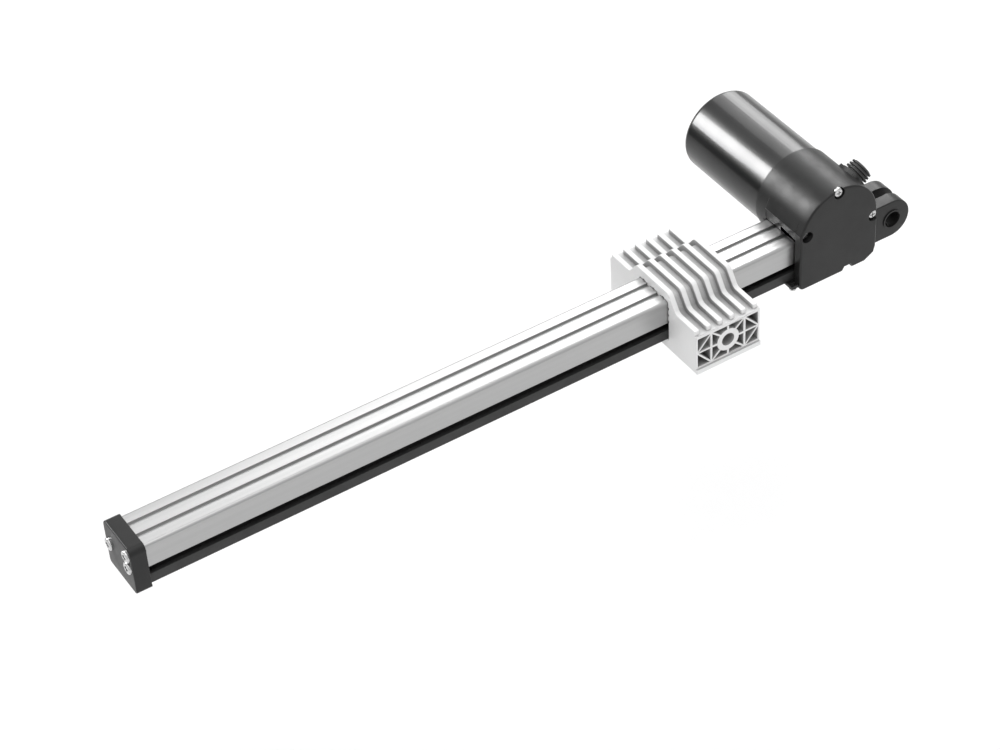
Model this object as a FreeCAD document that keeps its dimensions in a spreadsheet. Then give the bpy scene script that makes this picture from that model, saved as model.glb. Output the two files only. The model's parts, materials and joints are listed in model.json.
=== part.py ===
"""Rail actuator: a geared motor turns a lead screw inside an aluminium rail and
drives a ribbed slider block along the outside of the rail.

Frame, in millimetres: the origin is the centre of the rear clevis bore, +x runs along
the rail from the end cap to the clevis, +y points towards the motor and +z is up.
Every sub-part is drawn from the drive centre, where the worm axis crosses the plane
x = 0 and the lead screw axis is y = z = 0, and is then placed against the clevis bore.
"""
import math
import os

import FreeCAD
import Part
import Sketcher

os.makedirs("parts", exist_ok=True)
doc = FreeCAD.newDocument("rail_actuator")
V = FreeCAD.Vector

# ---------------------------------------------------------------- driving sizes
SIZES = {
    # rail extrusion, strip and lips
    "RailWidth": 26.5, "RailTop": 12.6, "RailCorner": 2.0, "RailWall": 1.9,
    "RailRoof": 10.0, "SlotTop": 2.25, "SlotBottom": 7.2, "StripBottom": 13.6,
    "RailStart": 424.6, "RailEnd": 19.5, "GrooveOffset": 4.72, "GrooveWidth": 2.8,
    "GrooveDepth": 1.3, "PortInner": 7.6, "PortSide": 10.2, "PortUpper": 8.2,
    "PortLower": 0.3, "PortHole": 3.6, "StripWall": 2.4, "StripFloor": 2.6,
    "StripCorner": 0.4, "LipDrop": 4.85, "LipInset": 3.4,
    # end cap
    "CapThick": 8.8, "CapHalf": 15.0, "CapTop": 14.3, "CapBottom": 15.8,
    "CapPlug": 7.0, "CapRound": 4.0, "CapFoot": 2.6,
    # gearbox
    "MotorAxis": 15.5, "ArchRadius": 25.85, "HouseBack": 14.0, "HouseFront": 13.0,
    "CollarEnd": 22.0, "CoverThick": 5.5, "FaceLeft": 25.65, "FaceRight": 26.2,
    "SocketWall": 15.6, "HouseBottom": 17.85, "FacetLow": 20.1, "FacetOut": 26.5,
    "FootReach": 31.0, "FootTop": 13.15, "FootBottom": 15.3, "FootSide": 18.5,
    "WheelRoom": 13.2, "WheelRoomHalf": 6.4, "WormRoom": 6.6, "BossPitch": 22.4,
    # motor
    "CanRadius": 25.0, "CanStart": 18.0, "CanEnd": 92.0, "CanWall": 1.6,
    "ShaftRadius": 2.5, "CoreRadius": 15.0, "CoreStart": 38.0, "CoreEnd": 70.0,
    "MagnetInner": 16.4, "WormStart": 11.0, "WormTip": 4.9, "WormRoot": 2.9,
    # wheel and screw
    "ToothPitch": 3.1416, "WheelTip": 12.35, "WheelRoot": 10.2, "WheelHalf": 3.0,
    "JournalRadius": 4.0, "ScrewRadius": 5.0, "ScrewCore": 3.9, "ScrewStart": 418.0,
    "ScrewEnd": 20.0, "TailRadius": 3.0, "ThreadLead": 8.0,
    # slider
    "BlockCentre": 89.2, "BlockLength": 42.0, "BlockHalf": 39.0, "RibHeight": 3.0,
    "RibWidth": 3.1, "RibPitch": 7.6, "RibSetback": 1.0, "RibRound": 1.0, "RibEdge": 0.4,
    "NotchPitch": 4.45, "NotchRadius": 0.75, "WingTop": 8.55, "HumpTop": 18.45,
    "HumpEdge": 13.8, "WingEdge": 20.4, "FarShift": 2.3, "FarRise": 1.3,
    "BlockBottom": 20.4, "LipTop": 17.4,
    "LipOut": 1.0, "RailGap": 0.4, "FrameTop": 3.25, "FrameBottom": 16.0,
    "FrameSide": 1.3, "PocketDepth": 20.0, "WebThick": 1.5, "WebOffset": 10.9,
    "PinLevel": 6.2, "BossRadius": 7.1, "PinRadius": 4.0, "PinDepth": 22.0,
    "NutLength": 34.0, "NutHalf": 7.2, "NutBottom": 6.9,
    # rear clevis
    "ClevisHole": 44.0, "ClevisLevel": 5.3, "ClevisRadius": 12.1, "ClevisHalf": 11.0, "ClevisGap": 3.0,
    "ClevisBore": 5.1, "ClevisRim": 6.0, "RimHeight": 0.6, "TangStart": 19.0,
    # cable gland
    "GlandTilt": 30.0, "GlandRadius": 8.0, "GlandNeck": 5.4, "GlandOut": 33.65,
    "GlandSeat": 24.0, "GlandBore": 3.4, "GlandSide": 1.5,
    "PadNear": 9.6, "PadFar": 6.8, "PadHalf": 7.0, "PadRise": 0.8,
}


class Size:
    """A number that remembers the spreadsheet expression it came from."""

    def __init__(self, value, text):
        self.value = float(value)
        self.text = text

    def _join(self, other, sign, value):
        text = other.text if isinstance(other, Size) else repr(float(other))
        return Size(value, "(%s %s %s)" % (self.text, sign, text))

    def __add__(self, other):
        return self._join(other, "+", self.value + number(other))

    def __sub__(self, other):
        return self._join(other, "-", self.value - number(other))

    def __mul__(self, other):
        return self._join(other, "*", self.value * number(other))

    def __truediv__(self, other):
        return self._join(other, "/", self.value / number(other))

    def __radd__(self, other):
        return constant(other) + self

    def __rsub__(self, other):
        return constant(other) - self

    def __rmul__(self, other):
        return constant(other) * self

    def __neg__(self):
        return constant(-1) * self


def number(item):
    return item.value if isinstance(item, Size) else float(item)


def constant(item):
    if isinstance(item, Size):
        return item
    return Size(item, "(%r)" % float(item))


sheet = doc.addObject("Spreadsheet::Sheet", "Sizes")
for row, (name, size) in enumerate(SIZES.items(), start=1):
    sheet.set("A%d" % row, name)
    sheet.set("B%d" % row, "%g" % size)
    sheet.setAlias("B%d" % row, name)
doc.recompute()
S = {name: Size(size, "Sizes." + name) for name, size in SIZES.items()}
nodes = {}


def bind(obj, prop, size):
    size = constant(size)
    obj.setExpression(prop, size.text)


# ---------------------------------------------------------------- drawing helpers
PLANES = {"XY": "XY_Plane", "XZ": "XZ_Plane", "YZ": "YZ_Plane"}


def body(label):
    obj = doc.addObject("PartDesign::Body", label + "_body")
    obj.Label = label
    doc.recompute()
    return obj


def node(name, obj, height=0.0):
    """Register a finished sub-part and place it against the clevis bore."""
    obj.Label = name
    bind(obj, "Placement.Base.x", -S["ClevisHole"])
    bind(obj, "Placement.Base.z", S["ClevisLevel"] + height)
    doc.recompute()
    nodes[name] = obj


def plane_of(owner, name):
    for feature in owner.Origin.OriginFeatures:
        if getattr(feature, "Role", "") == PLANES[name]:
            return feature
    raise ValueError(name)


def fix_point(sketch, geometry, corner, point):
    """Tie one sketch point to the origin by two driven distances."""
    for kind, size in zip(("DistanceX", "DistanceY"), point):
        if size is None:
            continue
        size = constant(size)
        index = sketch.addConstraint(Sketcher.Constraint(kind, -1, 1, geometry, corner, size.value))
        sketch.setExpression("Constraints[%d]" % index, size.text)


def draw_loop(sketch, loop):
    """Closed outline. Each entry is (x, y) or (x, y, arc centre x, arc centre y, turn)
    for an arc that starts there and runs to the next entry; turn is +1 anticlockwise."""
    count = len(loop)
    first = sketch.GeometryCount
    for i, entry in enumerate(loop):
        ax, ay = number(entry[0]), number(entry[1])
        bx, by = number(loop[(i + 1) % count][0]), number(loop[(i + 1) % count][1])
        if len(entry) == 2:
            sketch.addGeometry(Part.LineSegment(V(ax, ay, 0), V(bx, by, 0)))
            continue
        cx, cy, turn = number(entry[2]), number(entry[3]), entry[4]
        start = math.atan2(ay - cy, ax - cx)
        end = math.atan2(by - cy, bx - cx)
        if turn < 0:
            start, end = end, start
        circle = Part.Circle(V(cx, cy, 0), V(0, 0, 1), math.hypot(ax - cx, ay - cy))
        sketch.addGeometry(Part.ArcOfCircle(circle, start, end))
    ends = []
    for entry in loop:
        turned = len(entry) > 2 and entry[4] < 0
        ends.append((2, 1) if turned else (1, 2))
    for i, entry in enumerate(loop):
        following = (i + 1) % count
        fix_point(sketch, first + i, ends[i][0], entry[:2])
        sketch.addConstraint(Sketcher.Constraint("Coincident", first + i, ends[i][1],
                                                 first + following, ends[following][0]))
        if len(entry) > 2:
            after = loop[following]
            flat = abs(number(after[1]) - number(entry[1])) < abs(number(after[0]) - number(entry[0]))
            centre = (None, entry[3]) if flat else (entry[2], None)
            fix_point(sketch, first + i, 3, centre)


def draw_circle(sketch, x, y, radius):
    index = sketch.addGeometry(Part.Circle(V(number(x), number(y), 0), V(0, 0, 1), number(radius)))
    fix_point(sketch, index, 3, (x, y))
    radius = constant(radius)
    where = sketch.addConstraint(Sketcher.Constraint("Radius", index, radius.value))
    sketch.setExpression("Constraints[%d]" % where, radius.text)


def sketch_on(owner, plane, offset, loops, circles=(), turn=0):
    sketch = owner.newObject("Sketcher::SketchObject", owner.Label + "_sketch")
    sketch.AttachmentSupport = [(plane_of(owner, plane), "")]
    sketch.MapMode = "FlatFace"
    if turn:
        sketch.AttachmentOffset = FreeCAD.Placement(V(0, 0, 0), FreeCAD.Rotation(V(0, 1, 0), turn))
    bind(sketch, "AttachmentOffset.Base.z", offset)
    for loop in loops:
        draw_loop(sketch, loop)
    for circle in circles:
        draw_circle(sketch, *circle)
    doc.recompute()
    return sketch


def prism(owner, plane, low, high, loops=(), circles=(), cut=False):
    """Pad or pocket an outline between two positions along the plane's axis."""
    low, high = constant(low), constant(high)
    if plane == "XZ":
        offset = -low if cut else -high
    else:
        offset = high if cut else low
    sketch = sketch_on(owner, plane, offset, loops, circles)
    kind = "PartDesign::Pocket" if cut else "PartDesign::Pad"
    feature = owner.newObject(kind, owner.Label + ("_cut" if cut else "_pad"))
    feature.Profile = sketch
    bind(feature, "Length", high - low)
    doc.recompute()
    return feature


def turned(owner, plane, loop, cut=False):
    """Revolve an outline about the horizontal axis of its sketch."""
    sketch = sketch_on(owner, plane, 0, [loop])
    kind = "PartDesign::Groove" if cut else "PartDesign::Revolution"
    feature = owner.newObject(kind, owner.Label + "_turned")
    feature.Profile = sketch
    feature.ReferenceAxis = (sketch, ["H_Axis"])
    feature.Angle = 360
    doc.recompute()
    return feature


def rectangle(x0, x1, y0, y1):
    return [(x0, y0), (x1, y0), (x1, y1), (x0, y1)]


def ring(label, low, high, inner, outer, axis="X"):
    """Plain ring about the X or Y axis."""
    owner = body(label)
    turned(owner, "XZ" if axis == "X" else "YZ", rectangle(low, high, inner, outer))
    return owner


def dress(owner, kind, size, wanted):
    """Fillet or chamfer every edge for which wanted(edge) is true."""
    base = owner.Tip
    names = ["Edge%d" % i for i, edge in enumerate(base.Shape.Edges, start=1) if wanted(edge)]
    feature = owner.newObject("PartDesign::" + kind, owner.Label + "_" + kind.lower())
    feature.Base = (base, names)
    bind(feature, "Radius" if kind == "Fillet" else "Size", size)
    doc.recompute()
    return feature


def box_prim(name, x, y, z):
    """Part box between (low, high) pairs."""
    obj = doc.addObject("Part::Box", name)
    for prop, letter, (low, high) in zip(("Length", "Width", "Height"), "xyz", (x, y, z)):
        low, high = constant(low), constant(high)
        bind(obj, prop, high - low)
        bind(obj, "Placement.Base." + letter, low)
    return obj


def rod_prim(name, axis, low, high, radius, centre):
    """Part cylinder along an axis; centre gives the two other coordinates in order."""
    turns = {"X": FreeCAD.Rotation(V(0, 1, 0), 90), "Y": FreeCAD.Rotation(V(1, 0, 0), -90),
             "Z": FreeCAD.Rotation()}
    obj = doc.addObject("Part::Cylinder", name)
    obj.Placement = FreeCAD.Placement(V(0, 0, 0), turns[axis])
    low, high = constant(low), constant(high)
    bind(obj, "Radius", radius)
    bind(obj, "Height", high - low)
    bind(obj, "Placement.Base." + axis.lower(), low)
    others = [letter for letter in "xyz" if letter != axis.lower()]
    for letter, size in zip(others, centre):
        bind(obj, "Placement.Base." + letter, size)
    return obj


def fuse(label, items):
    obj = doc.addObject("Part::MultiFuse", label)
    obj.Shapes = list(items)
    doc.recompute()
    return obj


def cut(label, base, tools):
    tool = tools[0] if len(tools) == 1 else fuse(label + "_tools", tools)
    obj = doc.addObject("Part::Cut", label)
    obj.Base = base
    obj.Tool = tool
    doc.recompute()
    return obj


def group(label, items):
    obj = doc.addObject("Part::Compound", label + "_group")
    obj.Label = label
    obj.Links = list(items)
    doc.recompute()
    return obj


def screw(name, axis, seat, way, length, shank, head, head_high, centre):
    """Pan head screw with a cross recess; way is the direction the head faces."""
    seat = constant(seat)
    tip = seat - length * way
    top = seat + head_high * way
    low, high = (tip, seat) if way > 0 else (seat, tip)
    body_rod = rod_prim(name + "_shank", axis, low, high, shank, centre)
    low, high = (seat, top) if way > 0 else (top, seat)
    head_rod = rod_prim(name + "_head", axis, low, high, head, centre)
    domed = doc.addObject("Part::Fillet", name + "_dome")
    domed.Base = head_rod
    doc.recompute()
    face = max if way > 0 else min
    along = {"X": 0, "Y": 1, "Z": 2}[axis]
    circles = [(i, edge) for i, edge in enumerate(head_rod.Shape.Edges, start=1) if edge.Closed]
    outer = face(circles, key=lambda item: item[1].CenterOfMass[along])[0]
    domed.Edges = [(outer, head_high * 0.6, head_high * 0.6)]
    slots = []
    for turn in range(2):
        spans = []
        wide = [head * 0.55, head * 0.13]
        others = list(centre)
        for letter in "XYZ":
            if letter == axis:
                deep = top - head_high * 0.55 * way
                spans.append((deep, top + way) if way > 0 else (top + way, deep))
            else:
                middle = constant(others.pop(0))
                half = wide[(turn + len(others)) % 2]
                spans.append((middle - half, middle + half))
        slots.append(box_prim("%s_slot%d" % (name, turn), *spans))
    whole = fuse(name + "_whole", [body_rod, domed])
    return cut(name, whole, slots)


# ---------------------------------------------------------------- rail
half = S["RailWidth"] / 2
top = S["RailTop"]
corner = S["RailCorner"]
inner = half - S["RailWall"]


def groove_points(side):
    """Left-to-right points of one shallow groove in the rail roof."""
    middle = side * S["GrooveOffset"]
    wide = S["GrooveWidth"] / 2
    floor = top - S["GrooveDepth"]
    return [(middle + wide, top), (middle + wide, floor), (middle - wide, floor), (middle - wide, top)]


def rail_outline():
    upper = S["PortUpper"] - 2.6
    lower = S["PortLower"] + 2.6
    right = [(half, -S["SlotTop"]), (half, top - corner, half - corner, top - corner, 1),
             (half - corner, top)]
    left = [(corner - half, top, corner - half, top - corner, 1), (-half, top - corner),
            (-half, -S["SlotTop"])]
    inside = [(-S["PortInner"], -S["SlotTop"]), (-S["PortInner"], lower), (-inner, lower),
              (-inner, upper), (-S["PortInner"], upper), (-S["PortInner"], S["RailRoof"])]
    mirrored = [(-y, z) for y, z in reversed(inside)]
    return right + groove_points(1) + groove_points(-1) + left + inside + mirrored


rail = body("rail_profile")
prism(rail, "YZ", -S["RailStart"], -S["RailEnd"], [rail_outline()])
ports = [(side * S["PortSide"], level, S["PortHole"] / 2)
         for side in (-1, 1) for level in (S["PortUpper"], S["PortLower"])]
prism(rail, "YZ", -S["RailStart"] - 1, 1 - S["RailEnd"], circles=ports, cut=True)
node("rail_profile", rail)

strip_side = half - S["StripWall"]
strip_low = S["StripFloor"] - S["StripBottom"]
strip_flat = half - S["StripCorner"]
strip_bend = S["StripCorner"] - S["StripBottom"]
strip = body("bottom_strip")
prism(strip, "YZ", -S["RailStart"], -S["RailEnd"], [[
    (strip_flat * -1, -S["StripBottom"]), (strip_flat, -S["StripBottom"], strip_flat, strip_bend, 1),
    (half, strip_bend), (half, -S["SlotBottom"]), (strip_side, -S["SlotBottom"]),
    (strip_side, strip_low), (-strip_side, strip_low), (-strip_side, -S["SlotBottom"]),
    (-half, -S["SlotBottom"]), (-half, strip_bend, strip_flat * -1, strip_bend, 1)]])
node("bottom_strip", strip)

lips = []
for tag, side in (("near", -1), ("far", 1)):
    middle = side * (half - S["LipInset"])
    lips.append(box_prim("lip_" + tag, (-S["RailStart"], -S["FaceLeft"]),
                         (middle - 0.9, middle + 0.9), (-S["LipDrop"], -S["SlotTop"])))
node("slot_lips", group("slot_lips", lips))

# ---------------------------------------------------------------- end cap
cap_out = S["RailStart"] + S["CapThick"]
cap_half, cap_top, cap_low = S["CapHalf"], S["CapTop"], S["CapBottom"]
foot_y, foot_z = cap_half - S["CapFoot"], S["CapFoot"] - cap_low
head_y, head_z = cap_half - S["CapRound"], cap_top - S["CapRound"]
cap = body("end_cap")
prism(cap, "YZ", -cap_out, -S["RailStart"], [[
    (-foot_y, -cap_low), (foot_y, -cap_low, foot_y, foot_z, 1),
    (cap_half, foot_z), (cap_half, head_z, head_y, head_z, 1),
    (head_y, cap_top), (-head_y, cap_top, -head_y, head_z, 1),
    (-cap_half, head_z), (-cap_half, foot_z, -foot_y, foot_z, 1)]])
dress(cap, "Fillet", 0.7, lambda e: all(abs(v.X + cap_out.value) < 0.01 for v in e.Vertexes))
prism(cap, "YZ", -S["RailStart"], S["CapPlug"] - S["RailStart"], [
    rectangle(-(S["PortInner"] - 0.3), S["PortInner"] - 0.3, -(S["SlotBottom"] + 2), S["RailRoof"] - 0.3)])
prism(cap, "YZ", -S["RailStart"] - 2, 1 + S["CapPlug"] - S["RailStart"], circles=[(0, 0, 5.1)], cut=True)
cap_screws = [("far", 1, S["PortLower"]), ("upper", -1, S["PortUpper"]), ("lower", -1, S["PortLower"])]
prism(cap, "YZ", -cap_out - 1, 1 - S["RailStart"],
      circles=[(side * S["PortSide"], level, 1.85) for _, side, level in cap_screws], cut=True)
node("end_cap", cap)
node("end_cap_screws", group("end_cap_screws", [
    screw("cap_screw_" + tag, "X", -cap_out, -1, 20, 1.75, 3.6, 1.5, (side * S["PortSide"], level))
    for tag, side, level in cap_screws]))
node("end_bush", ring("end_bush", -S["RailStart"] - 1.9, S["CapPlug"] - S["RailStart"],
                         S["TailRadius"] + 0.2, 5.0))

# ---------------------------------------------------------------- gearbox housing
axis_z = S["MotorAxis"]
arch = S["ArchRadius"]
tangent = math.radians(156)
tangent_x = arch * math.cos(tangent)
tangent_z = axis_z + arch * math.sin(tangent)


def house_outline(left, notch):
    """Side view outline shared by the housing and its cover."""
    floor = -S["HouseBottom"]
    points = [(3 - left, floor)]
    if notch:
        points += [(3.4, floor), (4.9, floor + 2.4), (8.6, floor + 2.4), (10.1, floor)]
    points += [(18.7, floor), (25.1, floor + 3.6), (S["FaceRight"], floor + 7.8),
               (S["FaceRight"], axis_z - 2.5), (arch * 0.99538, axis_z + arch * 0.09603, 0, axis_z, 1),
               (tangent_x, tangent_z), (-S["FacetOut"], S["FacetLow"]), (-left, S["FacetLow"] - 0.9),
               (-left, floor + 3, 3 - left, floor + 3, 1)]
    return points


shell = body("gearbox_shell")
prism(shell, "XZ", -S["HouseBack"], S["HouseFront"], [house_outline(S["FaceLeft"], False)])
prism(shell, "XZ", S["HouseFront"], S["CollarEnd"], circles=[(0, axis_z, arch)])
prism(shell, "XZ", S["HouseFront"], S["SocketWall"], [rectangle(-S["FaceLeft"], -5, -S["HouseBottom"], 11)])
prism(shell, "XY", -S["FootBottom"], -S["FootTop"],
      [rectangle(-S["FootReach"], -S["FaceLeft"], -S["HouseBack"], S["FootSide"])])
prism(shell, "XY", -S["FootBottom"], -S["FootTop"],
      [rectangle(-S["FootReach"], -S["FacetOut"], -S["FootSide"], -S["HouseBack"])])
prism(shell, "YZ", -S["FootReach"] - 1, -S["RailEnd"],
      [rectangle(-half - 0.1, half + 0.1, -S["StripBottom"] - 0.1, top + 0.1)], cut=True)
prism(shell, "XZ", S["CanStart"], S["CollarEnd"] + 1, circles=[(0, axis_z, S["CanRadius"] + 0.05)], cut=True)
prism(shell, "XZ", -S["HouseBack"] - 1, S["CanStart"] + 1, circles=[(0, axis_z, S["WormRoom"])], cut=True)
prism(shell, "XZ", -S["HouseBack"] - 1, 0,
      [rectangle(-S["WheelRoomHalf"], S["WheelRoomHalf"], -S["WheelRoom"], axis_z)], cut=True)
prism(shell, "YZ", -S["WheelRoomHalf"], S["WheelRoomHalf"], circles=[(0, 0, S["WheelRoom"])], cut=True)
prism(shell, "YZ", -15, -S["WheelRoomHalf"], circles=[(0, 0, 11.05)], cut=True)
prism(shell, "YZ", S["WheelRoomHalf"], 13.5, circles=[(0, 0, 8.05)], cut=True)
prism(shell, "YZ", -S["RailEnd"] - 1, -14.5, circles=[(0, 0, 6.0)], cut=True)
prism(shell, "YZ", S["TangStart"], S["FaceRight"] + 1,
      [rectangle(-S["ClevisHalf"] + 2, S["ClevisHalf"] - 2, -13, 3)], cut=True)
cover_holes = [(-0.9, axis_z + 23.4), (0.6 - S["BossPitch"], axis_z + 2.9),
               (S["BossPitch"] + 1.4, axis_z - 3.5)]
prism(shell, "XZ", -S["HouseBack"] - 1, 14 - S["HouseBack"],
      circles=[(x, z, 1.6) for x, z in cover_holes], cut=True)
foot_spots = [(-28.75, side * 16.4) for side in (-1, 1)]
prism(shell, "XY", -S["FootBottom"] - 1, 1 - S["FootTop"],
      circles=[(x, y, 1.6) for x, y in foot_spots], cut=True)
gland_axis = FreeCAD.Rotation(V(0, 1, 0), -SIZES["GlandTilt"])

gland_pad = body("gland_pad")
prism(gland_pad, "YZ", 20, arch + S["PadRise"],
      [rectangle(-S["PadNear"], S["PadFar"], -S["PadHalf"], S["PadHalf"])])
dress(gland_pad, "Fillet", 2.5, lambda e: e.BoundBox.XLength > 3)
gland_pad.Placement = FreeCAD.Placement(V(0, 0, 0), gland_axis)
bind(gland_pad, "Placement.Base.z", axis_z)
gland_hole = body("gland_hole")
prism(gland_hole, "YZ", S["GlandSeat"], S["GlandSeat"] + 6, circles=[(0, 0, S["GlandRadius"] + 0.05)])
gland_hole.Placement = FreeCAD.Placement(V(0, 0, 0), gland_axis)
bind(gland_hole, "Placement.Base.y", -S["GlandSide"])
bind(gland_hole, "Placement.Base.z", axis_z)
housing = cut("gearbox_housing", fuse("padded_shell", [shell, gland_pad]), [gland_hole])
node("gearbox_housing", housing)

cover_face = S["HouseBack"] + S["CoverThick"]
cover = body("gearbox_cover")
prism(cover, "XZ", -cover_face, -S["HouseBack"], [house_outline(S["FacetOut"] - 0.3, True)])
dress(cover, "Fillet", 1.1, lambda e: all(abs(v.Y + cover_face.value) < 0.01 for v in e.Vertexes))
recesses = (2.3, 4.4, 3.0)
prism(cover, "XZ", -cover_face - 1, 1 - S["HouseBack"],
      circles=[(x, z, 1.8) for x, z in cover_holes], cut=True)
for deep, (x, z) in zip(recesses, cover_holes):
    prism(cover, "XZ", -cover_face - 1, deep - cover_face, circles=[(x, z, 3.5)], cut=True)
prism(cover, "XZ", -17.0, 1 - S["HouseBack"], circles=[(0, axis_z, S["WormRoom"])], cut=True)
node("gearbox_cover", cover)
node("cover_screws", group("cover_screws", [
    screw("cover_screw%d" % i, "Y", deep - cover_face, -1, 12, 1.5, 2.9, 1.7, spot)
    for i, (deep, spot) in enumerate(zip(recesses, cover_holes))]))
node("foot_screws", group("foot_screws", [
    screw("foot_screw%d" % i, "Z", -S["FootBottom"], -1, 2.0, 1.5, 2.2, 1.6, spot)
    for i, spot in enumerate(foot_spots)]))

# ---------------------------------------------------------------- rear clevis
ear, hole_x, pin_z = S["ClevisRadius"], S["ClevisHole"], -S["ClevisLevel"]
clevis = body("rear_clevis")
prism(clevis, "XZ", -S["ClevisHalf"], S["ClevisHalf"], [[
    (S["FaceRight"], pin_z - ear), (hole_x, pin_z - ear, hole_x, pin_z, 1),
    (hole_x, pin_z + ear), (S["FaceRight"], pin_z + ear)]])
dress(clevis, "Fillet", 0.6, lambda e: e.BoundBox.XMax > 30
      and all(abs(abs(v.Y) - S["ClevisHalf"].value) < 0.01 for v in e.Vertexes))
prism(clevis, "YZ", S["TangStart"], S["FaceRight"],
      [rectangle(-S["ClevisHalf"] + 2.1, S["ClevisHalf"] - 2.1, -12.9, 2.9)])
prism(clevis, "XZ", -S["ClevisGap"], S["ClevisGap"], [
    rectangle(S["FaceRight"] + 2.5, hole_x + ear + 1, pin_z - ear - 1, pin_z + ear + 1)], cut=True)
rim_face = S["ClevisHalf"] + S["RimHeight"]
for low, high in ((-rim_face, -S["ClevisHalf"]), (S["ClevisHalf"], rim_face)):
    prism(clevis, "XZ", low, high, circles=[(hole_x, pin_z, S["ClevisRim"])])
prism(clevis, "XZ", -rim_face - 1, rim_face + 1, circles=[(hole_x, pin_z, S["ClevisBore"])], cut=True)
node("rear_clevis", clevis)

# ---------------------------------------------------------------- cable gland
wide, neck, out = S["GlandRadius"], S["GlandNeck"], S["GlandOut"]
ridges = [(S["GlandSeat"], S["GlandBore"]), (S["GlandSeat"], wide), (arch + 1.2, wide), (arch + 1.2, neck)]
for step in range(3):
    foot = arch + 2.4 + step * 1.9
    crest = wide - 0.7 - 0.3 * step
    ridges += [(foot, neck), (foot + 0.2, crest), (foot + 1.0, crest), (foot + 1.2, neck)]
ridges += [(out, neck), (out, S["GlandBore"])]
gland = body("cable_gland")
turned(gland, "XZ", ridges)
gland.Placement = FreeCAD.Placement(V(0, 0, 0), gland_axis)
bind(gland, "Placement.Base.y", -S["GlandSide"])
node("cable_gland", gland, axis_z)

# ---------------------------------------------------------------- motor, fixed parts
can_in = S["CanRadius"] - S["CanWall"]
can = body("motor_can")
round_edge = 3.0
turned(can, "YZ", [
    (S["CanStart"], can_in), (S["CanStart"], S["CanRadius"]),
    (S["CanEnd"] - round_edge, S["CanRadius"], S["CanEnd"] - round_edge, S["CanRadius"] - round_edge, -1),
    (S["CanEnd"], S["CanRadius"] - round_edge), (S["CanEnd"], 9), (S["CanEnd"] + 2.2, 8),
    (S["CanEnd"] + 2.2, 0), (S["CanEnd"] + 0.6, 0), (S["CanEnd"] + 0.6, 6.5),
    (S["CanEnd"] - S["CanWall"], 6.5), (S["CanEnd"] - S["CanWall"], can_in)])
node("motor_can", can, axis_z)
node("motor_front_plate", ring("motor_front_plate", S["CanStart"] + 0.1, S["CanStart"] + 2.6,
                                  6.0, can_in - 0.05, "Y"), axis_z)
node("motor_front_bearing", ring("motor_front_bearing", S["CanStart"] + 0.1, S["CanStart"] + 3.9,
                                    S["ShaftRadius"] + 0.2, 5.95, "Y"), axis_z)
node("motor_rear_bush", ring("motor_rear_bush", S["CanEnd"] - 4, S["CanEnd"] + 0.5,
                                S["ShaftRadius"] + 0.2, 6.4, "Y"), axis_z)
node("cover_side_bush", ring("cover_side_bush", -16.9, -13.6, S["ShaftRadius"] + 0.2, 6.5, "Y"), axis_z)
magnets = body("motor_magnets")
magnet_half = math.radians(58)
loops = []
for side in (-1, 1):
    reach_out, reach_in = can_in - 0.05, S["MagnetInner"]
    low_x, low_z = math.cos(magnet_half), math.sin(magnet_half)
    start, end = (-low_z, low_z) if side > 0 else (low_z, -low_z)
    loops.append([
        (side * low_x * reach_out, start * reach_out, 0, 0, 1),
        (side * low_x * reach_out, end * reach_out),
        (side * low_x * reach_in, end * reach_in, 0, 0, -1),
        (side * low_x * reach_in, start * reach_in)])
prism(magnets, "XZ", S["CoreStart"] - 2, S["CoreEnd"] + 2, loops)
node("motor_magnets", magnets, axis_z)
card = body("brush_card")
prism(card, "XZ", S["CanStart"] + 4.4, S["CanStart"] + 6.0, circles=[(0, 0, can_in - 0.1), (0, 0, 8.6)])
node("brush_card", card, axis_z)
brushes = []
for tag, side in (("left", -1), ("right", 1)):
    span = sorted((side * 7.35, side * 15.0))
    brushes.append(box_prim("brush_" + tag, tuple(span), (S["CanStart"] + 6.0, S["CanStart"] + 12.0),
                            (axis_z - 2.2, axis_z + 2.2)))
node("brushes", group("brushes", brushes))

# ---------------------------------------------------------------- rotor
shaft = body("rotor_shaft")
turned(shaft, "YZ", rectangle(-16.6, S["CanEnd"] - 0.2, 0, S["ShaftRadius"]))
node("rotor_shaft", shaft, axis_z)
core = body("armature_core")
prism(core, "XZ", S["CoreStart"], S["CoreEnd"], circles=[(0, 0, S["CoreRadius"]), (0, 0, S["ShaftRadius"])])
slots = 8
for step in range(slots):
    angle = math.radians(360.0 * step / slots)
    cos, sin = math.cos(angle), math.sin(angle)
    near, far, thin = 9.0, 15.5, 0.9
    prism(core, "XZ", S["CoreStart"] - 1, S["CoreEnd"] + 1, [[
        (near * cos + thin * sin, near * sin - thin * cos),
        (far * cos + thin * sin, far * sin - thin * cos),
        (far * cos - thin * sin, far * sin + thin * cos),
        (near * cos - thin * sin, near * sin + thin * cos)]], cut=True)
node("armature_core", core, axis_z)
winding_parts = []
winding_spans = (("drive", S["CoreStart"] - 5, S["CoreStart"]), ("free", S["CoreEnd"], S["CoreEnd"] + 5))
for tag, low, high in winding_spans:
    coil = ring("winding_" + tag, low, high, S["ShaftRadius"] + 0.6, 13.2, "Y")
    dress(coil, "Fillet", 1.8, lambda e: e.Closed and e.BoundBox.XLength > 20)
    winding_parts.append(coil)
node("armature_windings", group("armature_windings", winding_parts), axis_z)
node("commutator", ring("commutator", S["CanStart"] + 6.4, S["CanStart"] + 13.5,
                           S["ShaftRadius"], 7.1, "Y"), axis_z)

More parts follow.
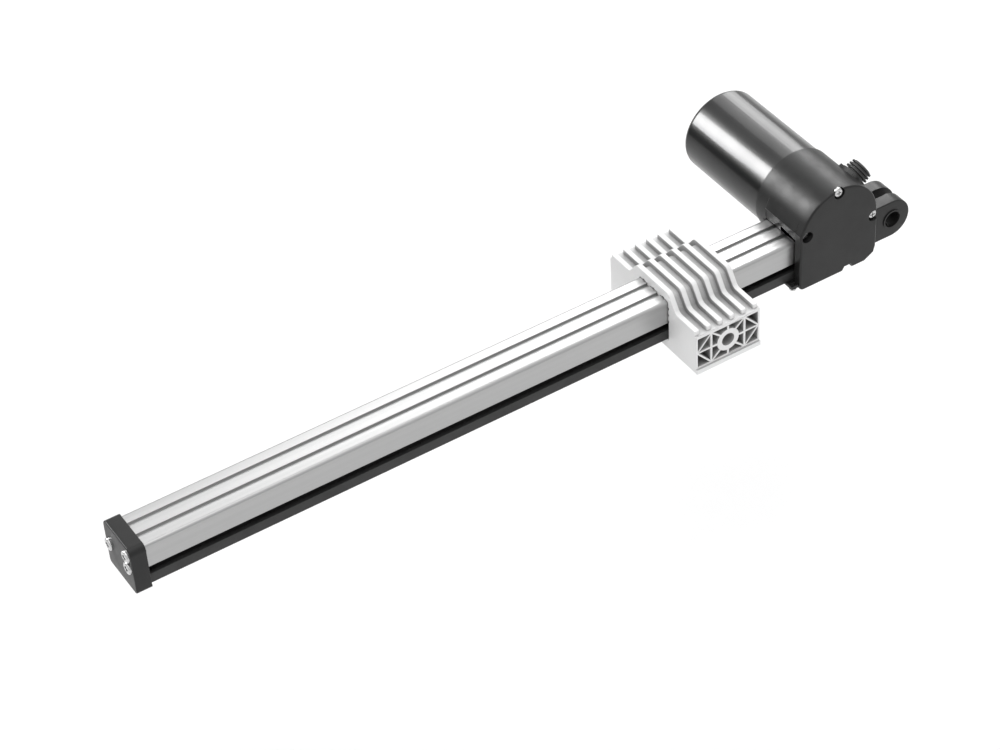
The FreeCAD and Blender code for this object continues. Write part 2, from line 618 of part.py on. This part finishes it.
# ---------------------------------------------------------------- worm and wheel
worm = body("worm")
turned(worm, "YZ", rectangle(-S["WormStart"], S["WormStart"], S["ShaftRadius"], S["WormRoot"]))
worm_tool = sketch_on(worm, "YZ", 0, [[
    (-8.6, S["WormRoot"] - 0.1), (-7.2, S["WormRoot"] - 0.1), (-7.62, S["WormTip"]), (-8.18, S["WormTip"])]])
thread = worm.newObject("PartDesign::AdditiveHelix", "worm_thread")
thread.Profile = worm_tool
thread.ReferenceAxis = (worm_tool, ["H_Axis"])
thread.Mode = 0
bind(thread, "Pitch", S["ToothPitch"])
bind(thread, "Height", S["ToothPitch"] * 5)
doc.recompute()
node("worm", worm, axis_z)

teeth = 23
wheel = body("worm_wheel")
turned(wheel, "XZ", rectangle(-S["WheelHalf"], S["WheelHalf"], S["JournalRadius"], S["WheelTip"]))
turned(wheel, "XZ", rectangle(-5.6, 5.6, S["JournalRadius"], 7.5))
gap_sketch = sketch_on(wheel, "YZ", 0, [[
    (-1.5, S["WheelTip"] + 0.4), (-0.62, S["WheelRoot"]), (0.62, S["WheelRoot"]),
    (1.5, S["WheelTip"] + 0.4)]], turn=0)
gap = wheel.newObject("PartDesign::Pocket", "tooth_gap")
gap.Profile = gap_sketch
gap.Midplane = True
gap.Length = 20
doc.recompute()
wheel.Tip = gap
ring_of_gaps = wheel.newObject("PartDesign::PolarPattern", "tooth_gaps")
ring_of_gaps.Originals = [gap]
ring_of_gaps.Axis = (gap_sketch, ["N_Axis"])
ring_of_gaps.Angle = 360
ring_of_gaps.Occurrences = teeth
wheel.Tip = ring_of_gaps
doc.recompute()
node("worm_wheel", wheel)

# ---------------------------------------------------------------- lead screw
journal, core_r = S["JournalRadius"], S["ScrewCore"]
lead_screw = body("lead_screw")
turned(lead_screw, "XZ", [
    (-S["RailStart"] - 1.5, 0), (-S["RailStart"] - 1.5, S["TailRadius"]),
    (-S["ScrewStart"] + 1, S["TailRadius"]),
    (-S["ScrewStart"] + 1, core_r), (-S["ScrewEnd"] - 1, core_r), (-S["ScrewEnd"] - 1, journal),
    (13.0, journal), (13.0, 0)])
thread_start = 9.0 - S["ScrewStart"]
ridge = sketch_on(lead_screw, "XZ", 0, [[
    (thread_start - 2.0, core_r - 0.1), (thread_start + 2.0, core_r - 0.1),
    (thread_start + 0.8, S["ScrewRadius"]), (thread_start - 0.8, S["ScrewRadius"])]])
screw_thread = lead_screw.newObject("PartDesign::AdditiveHelix", "screw_thread")
screw_thread.Profile = ridge
screw_thread.ReferenceAxis = (ridge, ["H_Axis"])
screw_thread.Mode = 0
bind(screw_thread, "Pitch", S["ThreadLead"])
bind(screw_thread, "Height", S["ThreadLead"] * 47)
doc.recompute()
node("lead_screw", lead_screw)
node("wheel_clip", ring("wheel_clip", 5.7, 6.3, journal, 5.6))

ball_room = 8.5
node("bearing_outer_ring", ring("bearing_outer_ring", -14.4, -7.4, ball_room + 1.2, 11.0))
node("bearing_inner_ring", ring("bearing_inner_ring", -14.4, -7.4, journal, ball_room - 1.2))
balls = []
for step in range(9):
    angle = 2 * math.pi * step / 9
    ball = doc.addObject("Part::Sphere", "ball%d" % step)
    ball.Radius = 1.05
    ball.Placement.Base = V(-10.9, ball_room * math.cos(angle), ball_room * math.sin(angle))
    balls.append(ball)
node("bearing_balls", group("bearing_balls", balls))
node("rear_bush", ring("rear_bush", S["WheelRoomHalf"] + 0.1, 13.4, journal + 0.2, 8.0))
node("spacer_sleeve", ring("spacer_sleeve", -7.3, -5.7, journal, 6.2))

# ---------------------------------------------------------------- slider block
block_low = -S["BlockCentre"] - S["BlockLength"] / 2
block_high = S["BlockLength"] / 2 - S["BlockCentre"]
bend = 4.0


def reversed_arcs(points):
    """The same outline walked the other way, arcs included."""
    back = []
    for i in range(len(points) - 1, -1, -1):
        before = points[i - 1] if i > 0 else ()
        arc = (before[2], before[3], -before[4]) if len(before) > 2 else ()
        back.append(points[i][:2] + arc)
    return back


def flank(drop, shift, rise):
    """One side of the saddle, from the wing up to the hump, lowered square to itself."""
    hump_y, hump_z = S["HumpEdge"] + shift, S["HumpTop"]
    wing_y, wing_z = S["WingEdge"] + shift, S["WingTop"] + rise
    slope = math.atan2(number(hump_z) - number(wing_z), number(wing_y) - number(hump_y))
    lean = drop * math.tan(slope / 2)
    hump_y, hump_z, wing_y, wing_z = hump_y - lean, hump_z - drop, wing_y - lean, wing_z - drop
    run = bend * math.tan(slope / 2)
    run_y, run_z = run * math.cos(slope), run * math.sin(slope)
    return [(wing_y + run, wing_z, wing_y + run, wing_z + bend, -1), (wing_y - run_y, wing_z + run_z),
            (hump_y + run_y, hump_z - run_z, hump_y - run, hump_z - bend, 1), (hump_y - run, hump_z)]


def mirrored(points):
    return [(-p[0], p[1]) if len(p) == 2 else (-p[0], p[1], -p[2], p[3], -p[4]) for p in points]


def saddle(drop):
    """Outline over both wings and the hump, from the far side to the near side."""
    far = flank(drop, S["FarShift"], S["FarRise"])
    return far + reversed_arcs(mirrored(flank(drop, 0, 0)))


def top_edge(shape):
    """Test for the edges round the top of a rib: just above them there is no material."""
    middle = shape.BoundBox.Center

    def wanted(edge):
        spot = edge.valueAt((edge.FirstParameter + edge.LastParameter) / 2)
        inward_x = math.copysign(0.15, middle.x - spot.x)
        inward_y = math.copysign(0.1, middle.y - spot.y)
        return not shape.isInside(spot + V(inward_x, inward_y, 0.3), 1e-4, True)

    return wanted


def block_outline():
    far_end, near_end = S["BlockHalf"] + S["FarShift"], -S["BlockHalf"]
    low, lip, out = -S["BlockBottom"], -S["LipTop"], S["LipOut"]
    floor = S["WingTop"] - S["RibHeight"]
    return [(far_end + out, low), (far_end + out, lip), (far_end, lip), (far_end, floor + S["FarRise"])] \
        + saddle(S["RibHeight"]) \
        + [(near_end, floor), (near_end, lip), (near_end - out, lip), (near_end - out, low)]


block = body("slider_block")
prism(block, "YZ", block_low, block_high, [block_outline()])


def rib_outline():
    far_end = S["BlockHalf"] + S["FarShift"] - S["RibSetback"]
    near_end = S["RibSetback"] - S["BlockHalf"]
    top_far, top_near = S["WingTop"] + S["FarRise"], S["WingTop"]
    sink = S["RibHeight"] + 0.5
    return [(far_end, top_far - sink), (far_end, top_far)] + saddle(0) \
        + [(near_end, top_near), (near_end, top_near - sink)] + reversed_arcs(saddle(sink))


rib_ends = (number(S["BlockHalf"] + S["FarShift"] - S["RibSetback"]),
            number(S["RibSetback"] - S["BlockHalf"]))
ribs = []
for step in range(6):
    rib = body("rib%d" % step)
    rib_low = block_low + S["RibPitch"] * step
    prism(rib, "YZ", rib_low, rib_low + S["RibWidth"], [rib_outline()])
    dress(rib, "Fillet", S["RibRound"], lambda e: e.BoundBox.ZLength > 2 and e.BoundBox.XLength < 0.01
          and any(abs(v - e.BoundBox.YMin) + abs(v - e.BoundBox.YMax) < 0.01 for v in rib_ends))
    dress(rib, "Fillet", S["RibEdge"], top_edge(rib.Shape))
    ribs.append(rib)

gap = S["RailGap"]
room, roof = half + gap, top + gap
key_wide = S["GrooveWidth"] / 2 - 0.35
opening = [(-room, -S["StripBottom"] - gap), (room, -S["StripBottom"] - gap),
           (room, roof - corner, room - corner, roof - corner, 1), (room - corner, roof)]
for side in (1, -1):
    middle = side * S["GrooveOffset"]
    tab = roof - gap - S["GrooveDepth"] + 0.35
    opening += [(middle + key_wide, roof), (middle + key_wide, tab), (middle - key_wide, tab),
                (middle - key_wide, roof)]
opening += [(corner - room, roof, corner - room, roof - corner, 1), (-room, roof - corner)]
prism(block, "YZ", block_low - 1, block_high + 1, [opening], cut=True)
notches = [(step * S["NotchPitch"], roof, S["NotchRadius"]) for step in (-2, 0, 2)]
notches += [(side * room, step * S["NotchPitch"] - 0.8, S["NotchRadius"])
            for side in (-1, 1) for step in range(3)]
prism(block, "YZ", block_low - 1, block_high + 1, circles=notches, cut=True)

mid_x = -S["BlockCentre"]
frame_x = S["BlockLength"] / 2 - S["FrameSide"]
frame_top, frame_low, pin_low = S["FrameTop"], -S["FrameBottom"], -S["PinLevel"]
web = S["WebThick"] / 2
web_x = S["WebOffset"]
for side in (-1, 1):
    outer_y = -S["BlockHalf"] if side < 0 else S["BlockHalf"] + S["FarShift"]
    inner_y = outer_y - side * S["PocketDepth"]
    low_y, high_y = (outer_y, inner_y) if side < 0 else (inner_y, outer_y)
    cut_low, cut_high = (outer_y - 2, inner_y) if side < 0 else (inner_y, outer_y + 2)
    prism(block, "XZ", cut_low, cut_high,
          [rectangle(mid_x - frame_x, mid_x + frame_x, frame_low, frame_top)], cut=True)
    for hand in (-1, 1):
        x = mid_x + hand * web_x
        prism(block, "XZ", low_y, high_y, [rectangle(x - web, x + web, frame_low - 0.5, frame_top + 0.5)])
        for level in (frame_top + 0.5, frame_low - 0.5):
            outer_x = mid_x + hand * (frame_x + 0.5)
            prism(block, "XZ", low_y, high_y, [[
                (outer_x - 0.8, pin_low), (outer_x + 0.8, pin_low), (x + 0.8, level), (x - 0.8, level)]])
            boss_x = mid_x + hand * 4.2
            boss_z = pin_low + (4.2 if level is not None and number(level) > 0 else -4.2)
            prism(block, "XZ", low_y, high_y, [[
                (x - 0.9, level), (x + 0.9, level), (boss_x + 0.9, boss_z), (boss_x - 0.9, boss_z)]])
    prism(block, "XZ", low_y, high_y,
          [rectangle(mid_x - frame_x - 0.5, mid_x + frame_x + 0.5, pin_low - 0.65, pin_low + 0.65)])
    prism(block, "XZ", low_y, high_y, [rectangle(mid_x - 0.6, mid_x + 0.6, frame_low - 0.5, frame_top + 0.5)])
    prism(block, "XZ", low_y, high_y, circles=[(mid_x, pin_low, S["BossRadius"])])
    bore_low = outer_y - 1 if side < 0 else outer_y - S["PinDepth"]
    bore_high = outer_y + S["PinDepth"] if side < 0 else outer_y + 1
    prism(block, "XZ", bore_low, bore_high, circles=[(mid_x, pin_low, S["PinRadius"])], cut=True)
wing_slot = (-S["SlotBottom"] + 0.25, -S["LipDrop"] - 0.2)
prism(block, "XY", wing_slot[0], wing_slot[1],
      [rectangle(mid_x - 14, mid_x + 14, -room - 3, room + 3)], cut=True)
node("slider_block", fuse("ribbed_block", [block] + ribs))

# ---------------------------------------------------------------- drive nut
nut_half = S["NutLength"] / 2
nut = body("drive_nut")
prism(nut, "YZ", mid_x - nut_half, mid_x + nut_half,
      [rectangle(-S["NutHalf"], S["NutHalf"], -S["NutBottom"], S["NutHalf"])])
prism(nut, "XY", wing_slot[0], wing_slot[1],
      [rectangle(mid_x - 14, mid_x + 14, -room - 3, room + 3)])
prism(nut, "YZ", mid_x - nut_half - 1, mid_x + nut_half + 1,
      circles=[(0, 0, S["ScrewRadius"] + 0.2)], cut=True)
node("drive_nut", nut)

# ---------------------------------------------------------------- limit switches
board = box_prim("limit_strip", (-S["RailStart"] + S["CapPlug"] + 1, -S["RailEnd"] - 1), (-6, 6), (8.6, 9.9))
node("limit_board", group("limit_board", [board]))
switches = []
for tag, x in (("cap_end", -S["RailStart"] + 16), ("gear_end", -S["RailEnd"] - 18)):
    switches.append(box_prim("switch_" + tag, (x - 6, x + 6), (-3, 3), (7.4, 8.6)))
node("limit_switches", group("limit_switches", switches))

# ---------------------------------------------------------------- check and write
doc.recompute()
bad = [obj.Name for obj in doc.Objects if any(word in obj.State for word in ("Invalid", "Error"))]
if bad:
    raise SystemExit("objects in error: %s" % ", ".join(bad))
for name, obj in nodes.items():
    shape = obj.Shape
    if shape.isNull() or not shape.isValid() or not shape.Solids:
        raise SystemExit("bad shape: " + name)
    shape.exportStep("parts/%s.step" % name)
print("nodes:", len(nodes))
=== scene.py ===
import json
import math

import bmesh
import bpy
from mathutils import Matrix, Vector

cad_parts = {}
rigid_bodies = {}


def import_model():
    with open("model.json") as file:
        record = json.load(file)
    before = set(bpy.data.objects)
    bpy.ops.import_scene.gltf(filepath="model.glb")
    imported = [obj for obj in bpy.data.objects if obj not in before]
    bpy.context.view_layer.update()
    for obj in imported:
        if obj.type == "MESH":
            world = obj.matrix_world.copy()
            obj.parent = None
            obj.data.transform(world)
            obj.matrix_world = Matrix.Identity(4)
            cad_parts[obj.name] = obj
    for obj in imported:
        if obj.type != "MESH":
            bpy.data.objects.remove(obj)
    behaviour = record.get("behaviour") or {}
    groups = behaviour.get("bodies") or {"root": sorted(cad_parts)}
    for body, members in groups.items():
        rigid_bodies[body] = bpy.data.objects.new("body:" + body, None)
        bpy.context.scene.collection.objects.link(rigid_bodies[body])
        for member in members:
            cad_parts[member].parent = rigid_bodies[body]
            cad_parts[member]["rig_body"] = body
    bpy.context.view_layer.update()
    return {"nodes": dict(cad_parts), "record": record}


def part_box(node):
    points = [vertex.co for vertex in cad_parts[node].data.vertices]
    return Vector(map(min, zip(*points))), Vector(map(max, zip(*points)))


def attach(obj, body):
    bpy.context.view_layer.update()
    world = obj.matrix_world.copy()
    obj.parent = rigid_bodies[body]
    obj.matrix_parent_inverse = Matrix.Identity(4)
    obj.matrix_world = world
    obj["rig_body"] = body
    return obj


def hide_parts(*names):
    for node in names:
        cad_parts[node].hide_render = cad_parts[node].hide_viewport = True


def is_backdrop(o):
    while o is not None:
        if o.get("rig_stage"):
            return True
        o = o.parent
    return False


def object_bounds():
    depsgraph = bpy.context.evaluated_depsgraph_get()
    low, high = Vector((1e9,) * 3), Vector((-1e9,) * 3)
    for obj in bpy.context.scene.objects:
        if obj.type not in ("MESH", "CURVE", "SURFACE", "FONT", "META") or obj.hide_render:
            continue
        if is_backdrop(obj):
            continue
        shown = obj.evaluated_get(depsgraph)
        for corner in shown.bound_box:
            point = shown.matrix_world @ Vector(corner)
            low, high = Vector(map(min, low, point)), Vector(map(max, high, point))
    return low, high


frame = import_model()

nodes = frame["nodes"]
MM = 0.001
FLOOR_REACH = 12.0
FLOOR_DROP = 0.20


# ---------------------------------------------------------------- camera
def make_camera(place, right, up, back, focal):
    data = bpy.data.cameras.new("camera")
    data.sensor_width = 36.0
    data.lens = focal
    data.shift_x = -0.0005
    data.shift_y = 0.0005
    data.clip_end = 20.0
    camera = bpy.data.objects.new("camera", data)
    turn = Matrix((right, up, back)).transposed().to_4x4()
    camera.matrix_world = Matrix.Translation(place) @ turn
    bpy.context.scene.collection.objects.link(camera)
    bpy.context.scene.camera = camera


make_camera(place=Vector((-0.8140, -0.9590, 1.0041)), right=Vector((0.8399, -0.5406, -0.0469)),
            up=Vector((0.3912, 0.5432, 0.7429)), back=Vector((-0.3762, -0.6424, 0.6677)), focal=102.35)


# ---------------------------------------------------------------- materials
class Surface:
    """Builds one procedural material from noise layers in the part's own space."""

    def __init__(self, name, **sockets):
        self.material = bpy.data.materials.new(name)
        self.material.use_nodes = True
        self.tree = self.material.node_tree
        self.shader = self.tree.nodes["Principled BSDF"]
        self.place = self.tree.nodes.new("ShaderNodeTexCoord").outputs["Object"]
        for label, value in sockets.items():
            self.shader.inputs[label.replace("_", " ")].default_value = value
        self.bump = None

    def link(self, a, b):
        self.tree.links.new(a, b)

    def noise(self, size_mm, detail=3.0, stretch=(1, 1, 1), rough=0.5):
        """Noise whose features are about size_mm across, drawn out along an axis by stretch."""
        mapping = self.tree.nodes.new("ShaderNodeMapping")
        mapping.inputs["Scale"].default_value = [1.0 / (size_mm * MM * factor) for factor in stretch]
        texture = self.tree.nodes.new("ShaderNodeTexNoise")
        texture.inputs["Scale"].default_value = 1.0
        texture.inputs["Detail"].default_value = detail
        texture.inputs["Roughness"].default_value = rough
        self.link(self.place, mapping.inputs["Vector"])
        self.link(mapping.outputs["Vector"], texture.inputs["Vector"])
        return texture.outputs["Fac"]

    def spread(self, value, low, high, out_low, out_high):
        node = self.tree.nodes.new("ShaderNodeMapRange")
        node.interpolation_type = "SMOOTHSTEP"
        limits = {"From Min": low, "From Max": high, "To Min": out_low, "To Max": out_high}
        for label, number in limits.items():
            node.inputs[label].default_value = number
        self.link(value, node.inputs["Value"])
        return node.outputs["Result"]

    def colours(self, value, dark, light, low=0.35, high=0.65):
        ramp = self.tree.nodes.new("ShaderNodeValToRGB")
        for stop, place, colour in zip(ramp.color_ramp.elements, (low, high), (dark, light)):
            stop.position = place
            stop.color = (*colour, 1.0)
        self.link(value, ramp.inputs["Fac"])
        self.link(ramp.outputs["Color"], self.shader.inputs["Base Color"])

    def paint_cavity_shade(self, reach_mm, shade, low, high):
        """Painted shade: darkens the base colour where the walls within reach_mm close in, to shade below
        low, not at all above high.
        """
        node = self.tree.nodes.new("ShaderNodeAmbientOcclusion")
        node.samples = 8
        node.inputs["Distance"].default_value = reach_mm * MM
        node.only_local = True
        mix = self.tree.nodes.new("ShaderNodeMix")
        mix.data_type = "RGBA"
        mix.blend_type = "MULTIPLY"
        mix.inputs["Factor"].default_value = 1.0
        socket = self.shader.inputs["Base Color"]
        self.link(socket.links[0].from_socket, mix.inputs["A"])
        self.link(self.spread(node.outputs["AO"], low, high, shade, 1.0), mix.inputs["B"])
        self.link(mix.outputs["Result"], socket)

    def roughness(self, value, low, high):
        self.link(self.spread(value, 0.3, 0.7, low, high), self.shader.inputs["Roughness"])

    def relief(self, value, depth_mm, strength=0.5):
        node = self.tree.nodes.new("ShaderNodeBump")
        node.inputs["Strength"].default_value = strength
        node.inputs["Distance"].default_value = depth_mm * MM
        self.link(value, node.inputs["Height"])
        if self.bump is not None:
            self.link(self.bump, node.inputs["Normal"])
        self.bump = node.outputs["Normal"]
        self.link(self.bump, self.shader.inputs["Normal"])


def grey(value, warmth=0.0):
    return (value * (1 + warmth), value, value * (1 - warmth))


def moulded(name, dark, light, rough, grain_mm=0.35, depth_mm=0.03, warmth=0.0, painted_cavity_shade=None, **sockets):
    """Moulded plastic: fine spark-eroded grain, slow changes of shade and of sheen."""
    surface = Surface(name, **sockets)
    surface.colours(surface.noise(26, 4), grey(dark, warmth), grey(light, warmth))
    # Painted shade in recesses, from ambient occlusion, multiplied into the base colour.
    if painted_cavity_shade:
        surface.paint_cavity_shade(**painted_cavity_shade)
    surface.roughness(surface.noise(9, 3), *rough)
    surface.relief(surface.noise(grain_mm, 2), depth_mm, 0.35)
    surface.relief(surface.noise(14, 2), depth_mm * 3, 0.12)
    return surface.material


def drawn(name, dark, light, rough, along, pitch_mm=0.5, warmth=0.0, depth_mm=0.01, **sockets):
    """Metal with fine lines along one axis, left by drawing, grinding or extruding."""
    surface = Surface(name, Metallic=1.0, **sockets)
    stretch = [1.0, 1.0, 1.0]
    stretch["XYZ".index(along)] = 400.0
    lines = surface.noise(pitch_mm, 3, stretch)
    surface.colours(surface.noise(pitch_mm * 8, 2, stretch), grey(dark, warmth), grey(light, warmth))
    surface.roughness(lines, *rough)
    surface.relief(lines, depth_mm, 0.3)
    return surface.material


def plated(name, dark, light, rough, warmth=0.0, size_mm=1.5, **sockets):
    """Small bright metal parts: faint mottling and tiny scratches."""
    surface = Surface(name, Metallic=1.0, **sockets)
    surface.colours(surface.noise(size_mm, 4), grey(dark, warmth), grey(light, warmth))
    surface.roughness(surface.noise(size_mm * 0.4, 3), *rough)
    surface.relief(surface.noise(0.12, 2), 0.004, 0.4)
    return surface.material


def sintered(name, dark, light, rough, warmth=0.0, metallic=0.0, grain_mm=0.2):
    """Pressed powder parts: open granular surface."""
    surface = Surface(name, Metallic=metallic)
    surface.colours(surface.noise(grain_mm, 3), grey(dark, warmth), grey(light, warmth))
    surface.roughness(surface.noise(grain_mm * 2, 2), *rough)
    surface.relief(surface.noise(grain_mm, 3), 0.02, 0.5)
    return surface.material


def lacquered(name):
    """Glossy black coating over drawn steel, with the drawing marks just showing."""
    surface = Surface(name, Metallic=1.0, Coat_Weight=0.25, Coat_Roughness=0.08)
    marks = surface.noise(0.6, 2, (1, 400, 1))
    surface.colours(surface.noise(30, 3), grey(0.042), grey(0.050))
    surface.roughness(marks, 0.28, 0.31)
    surface.relief(marks, 0.001, 0.05)
    return surface.material


FINISHES = {
    "anodised_aluminium": drawn("anodised_aluminium", 0.41, 0.445, (0.30, 0.38), "X", 0.45, 0.0, 0.004),
    "black_strip": moulded("black_strip", 0.022, 0.026, (0.42, 0.55), Specular_IOR_Level=0.35),
    "black_rubber": moulded("black_rubber", 0.002, 0.004, (0.6, 0.75), 0.25, Specular_IOR_Level=0.1),
    "dark_plastic": moulded("dark_plastic", 0.011, 0.014, (0.34, 0.42), Specular_IOR_Level=0.3),
    "plated_screw": plated("plated_screw", 0.52, 0.64, (0.16, 0.28)),
    "bronze": sintered("bronze", 0.40, 0.52, (0.35, 0.5), 0.30, 1.0),
    "black_gland": moulded("black_gland", 0.022, 0.030, (0.38, 0.48)),
    "black_can": lacquered("black_can"),
    "zinc_plate": plated("zinc_plate", 0.52, 0.62, (0.25, 0.4)),
    "bearing_steel": drawn("bearing_steel", 0.56, 0.66, (0.15, 0.28), "Y", 0.3),
    "ferrite": sintered("ferrite", 0.05, 0.09, (0.55, 0.7)),
    "brush_card": moulded("brush_card", 0.10, 0.16, (0.45, 0.6), 0.5, 0.03, 0.25),
    "carbon": sintered("carbon", 0.02, 0.045, (0.5, 0.65)),
    "lamination": drawn("lamination", 0.22, 0.34, (0.35, 0.5), "X", 0.5),
    "copper": drawn("copper", 0.40, 0.52, (0.25, 0.4), "X", 0.4, 0.42),
    "screw_steel": plated("screw_steel", 0.42, 0.52, (0.22, 0.34)),
    "white_nylon": moulded("white_nylon", 0.80, 0.83, (0.38, 0.48), 0.4, 0.02,
                           # Painted shade: groove floors and pockets darkened by ambient occlusion.
                           painted_cavity_shade={"reach_mm": 20.0, "shade": 0.34, "low": 0.18, "high": 1.1},
                           Specular_IOR_Level=0.4),
    "nut_acetal": moulded("nut_acetal", 0.70, 0.78, (0.35, 0.45), 0.4, 0.02, 0.03),
    "circuit_board": moulded("circuit_board", 0.03, 0.06, (0.3, 0.42), 0.8, 0.01),
    "switch_black": moulded("switch_black", 0.015, 0.022, (0.4, 0.55)),
}
slot_of = {part["node"]: part["material_slot"] for part in frame["record"]["subparts"]}
for name, obj in nodes.items():
    obj.data.materials.clear()
    obj.data.materials.append(FINISHES[slot_of[name]])


# ---------------------------------------------------------------- moulded and machined edges
def clean_copy(node):
    """The node's shape with its triangles joined back into flat faces."""
    bm = bmesh.new()
    bm.from_mesh(nodes[node].data)
    bmesh.ops.remove_doubles(bm, verts=bm.verts, dist=2e-6)
    bmesh.ops.join_triangles(bm, faces=bm.faces, angle_face_threshold=math.radians(0.4),
                             angle_shape_threshold=math.pi)
    bm.verts.index_update()
    mesh = bpy.data.meshes.new(node + "_mesh")
    mesh.from_pydata([v.co[:] for v in bm.verts], [], [[v.index for v in f.verts] for f in bm.faces])
    bm.free()
    return mesh


def mark_edges(mesh, sharp, shortest_mm):
    """Sets the bevel weight of the sharp edges that are long enough to round."""
    bm = bmesh.new()
    bm.from_mesh(mesh)
    weight = bm.edges.layers.float.new("bevel_weight_edge")
    for edge in bm.edges:
        turn = edge.calc_face_angle(0.0)
        long_enough = edge.calc_length() > shortest_mm * MM
        edge[weight] = float(edge.is_convex and long_enough and turn > math.radians(sharp))
    bm.to_mesh(mesh)
    bm.free()


def soften(node, name, width_mm, steps=2, sharp=38, shortest_mm=0.0):
    """Replaces a CAD node by the same shape with small rounds on its sharp edges."""
    mesh = clean_copy(node)
    mark_edges(mesh, sharp, shortest_mm)
    mesh.materials.append(FINISHES[slot_of[node]])
    obj = bpy.data.objects.new(name, mesh)
    bpy.context.scene.collection.objects.link(obj)
    mesh.shade_smooth()
    mesh.set_sharp_from_angle(angle=math.radians(sharp))
    bevel = obj.modifiers.new("edge_rounds", "BEVEL")
    bevel.limit_method = "WEIGHT"
    bevel.width = width_mm * MM
    bevel.segments = steps
    bevel.use_clamp_overlap = False
    bevel.miter_outer = "MITER_ARC"
    bevel.harden_normals = True
    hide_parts(node)
    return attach(obj, nodes[node]["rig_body"])


soften("slider_block", "block_shell", 0.3, shortest_mm=6)
soften("gearbox_housing", "housing_shell", 0.35, shortest_mm=4)
soften("gearbox_cover", "cover_shell", 0.25, shortest_mm=2)
soften("rear_clevis", "clevis_body", 0.3, shortest_mm=2)
soften("end_cap", "cap_shell", 0.3, shortest_mm=2)
soften("rail_profile", "rail_extrusion", 0.2)
soften("bottom_strip", "strip_channel", 0.2)
soften("cable_gland", "gland_body", 0.15)


# ---------------------------------------------------------------- floor and light
def aim(obj, place, target):
    obj.location = place
    obj.rotation_mode = "QUATERNION"
    obj.rotation_quaternion = (Vector(target) - Vector(place)).to_track_quat("-Z", "Y")


def softbox(name, way, distance, wide, high, radiance, target, diffuse=True):
    """Area light seen from target along way; without diffuse it shows in reflections only."""
    data = bpy.data.lights.new(name, "AREA")
    data.shape = "RECTANGLE"
    data.size = wide
    data.size_y = high
    data.energy = radiance * math.pi * wide * high
    light = bpy.data.objects.new(name, data)
    aim(light, Vector(target) + Vector(way).normalized() * distance, target)
    light.visible_diffuse = diffuse
    bpy.context.scene.collection.objects.link(light)


def flag(name, place, target, wide, high):
    """Black card that the glossy parts reflect; the camera itself doesn't see it."""
    card_mesh = bpy.data.meshes.new(name)
    x, y = wide / 2, high / 2
    card_mesh.from_pydata([(-x, -y, 0), (x, -y, 0), (x, y, 0), (-x, y, 0)], [], [(0, 1, 2, 3)])
    card = bpy.data.objects.new(name, card_mesh)
    aim(card, place, target)
    black = Surface("flag_cloth", Roughness=1.0, Specular_IOR_Level=0.0)
    black.colours(black.noise(5, 2), grey(0.003), grey(0.005))
    card_mesh.materials.append(black.material)
    card.visible_camera = False
    bpy.context.scene.collection.objects.link(card)
    card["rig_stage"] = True


def studio():
    low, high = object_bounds()
    centre = (low + high) / 2
    mesh = bpy.data.meshes.new("floor")
    reach = FLOOR_REACH
    level = low.z - FLOOR_DROP
    corners = [(-reach, -reach, level), (reach, -reach, level), (reach, reach, level), (-reach, reach, level)]
    mesh.from_pydata(corners, [], [(0, 1, 2, 3)])
    floor = bpy.data.objects.new("floor", mesh)
    bpy.context.scene.collection.objects.link(floor)
    pale = Surface("pale_floor", Roughness=0.9)
    pale.colours(pale.noise(300, 2), grey(0.90), grey(0.92))
    mesh.materials.append(pale.material)
    floor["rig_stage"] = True

    world = bpy.data.worlds.new("studio")
    bpy.context.scene.world = world
    world.use_nodes = True
    tree = world.node_tree
    place = tree.nodes.new("ShaderNodeTexCoord")
    split = tree.nodes.new("ShaderNodeSeparateXYZ")
    ramp = tree.nodes.new("ShaderNodeValToRGB")
    tree.links.new(place.outputs["Generated"], split.inputs["Vector"])
    tree.links.new(split.outputs["Z"], ramp.inputs["Fac"])
    stops = ((0.0, 0.55), (0.2, 0.7), (0.55, 0.95), (1.0, 1.05))
    while len(ramp.color_ramp.elements) < len(stops):
        ramp.color_ramp.elements.new(0.5)
    for stop, (position, value) in zip(ramp.color_ramp.elements, stops):
        stop.position = position
        stop.color = (value, value, value, 1.0)
    tree.links.new(ramp.outputs["Color"], tree.nodes["Background"].inputs["Color"])
    tree.nodes["Background"].inputs["Strength"].default_value = 0.98

    motor = (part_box("motor_can")[0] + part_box("motor_can")[1]) / 2
    softbox("strip_back_left", way=(-0.61, 0.64, 0.47), distance=1.6, wide=0.34, high=0.9,
            radiance=26.0, target=motor, diffuse=False)
    softbox("strip_back_right", way=(0.61, 0.64, 0.43), distance=1.6, wide=0.42, high=0.9,
            radiance=5.0, target=motor, diffuse=False)
    flag("flag_back_left", place=motor + Vector((-0.77, 0.64, 0.0)), target=motor, wide=0.7, high=0.36)
    softbox("box_back_right", way=(0.50, 0.64, 0.60), distance=2.2, wide=1.3, high=1.3,
            radiance=2.1, target=centre)
    softbox("box_top", way=(-0.1, -0.15, 1.0), distance=2.0, wide=1.6, high=1.6,
            radiance=1.1, target=centre)


studio()
scene = bpy.context.scene
scene.view_settings.view_transform = "Standard"
scene.view_settings.look = "None"
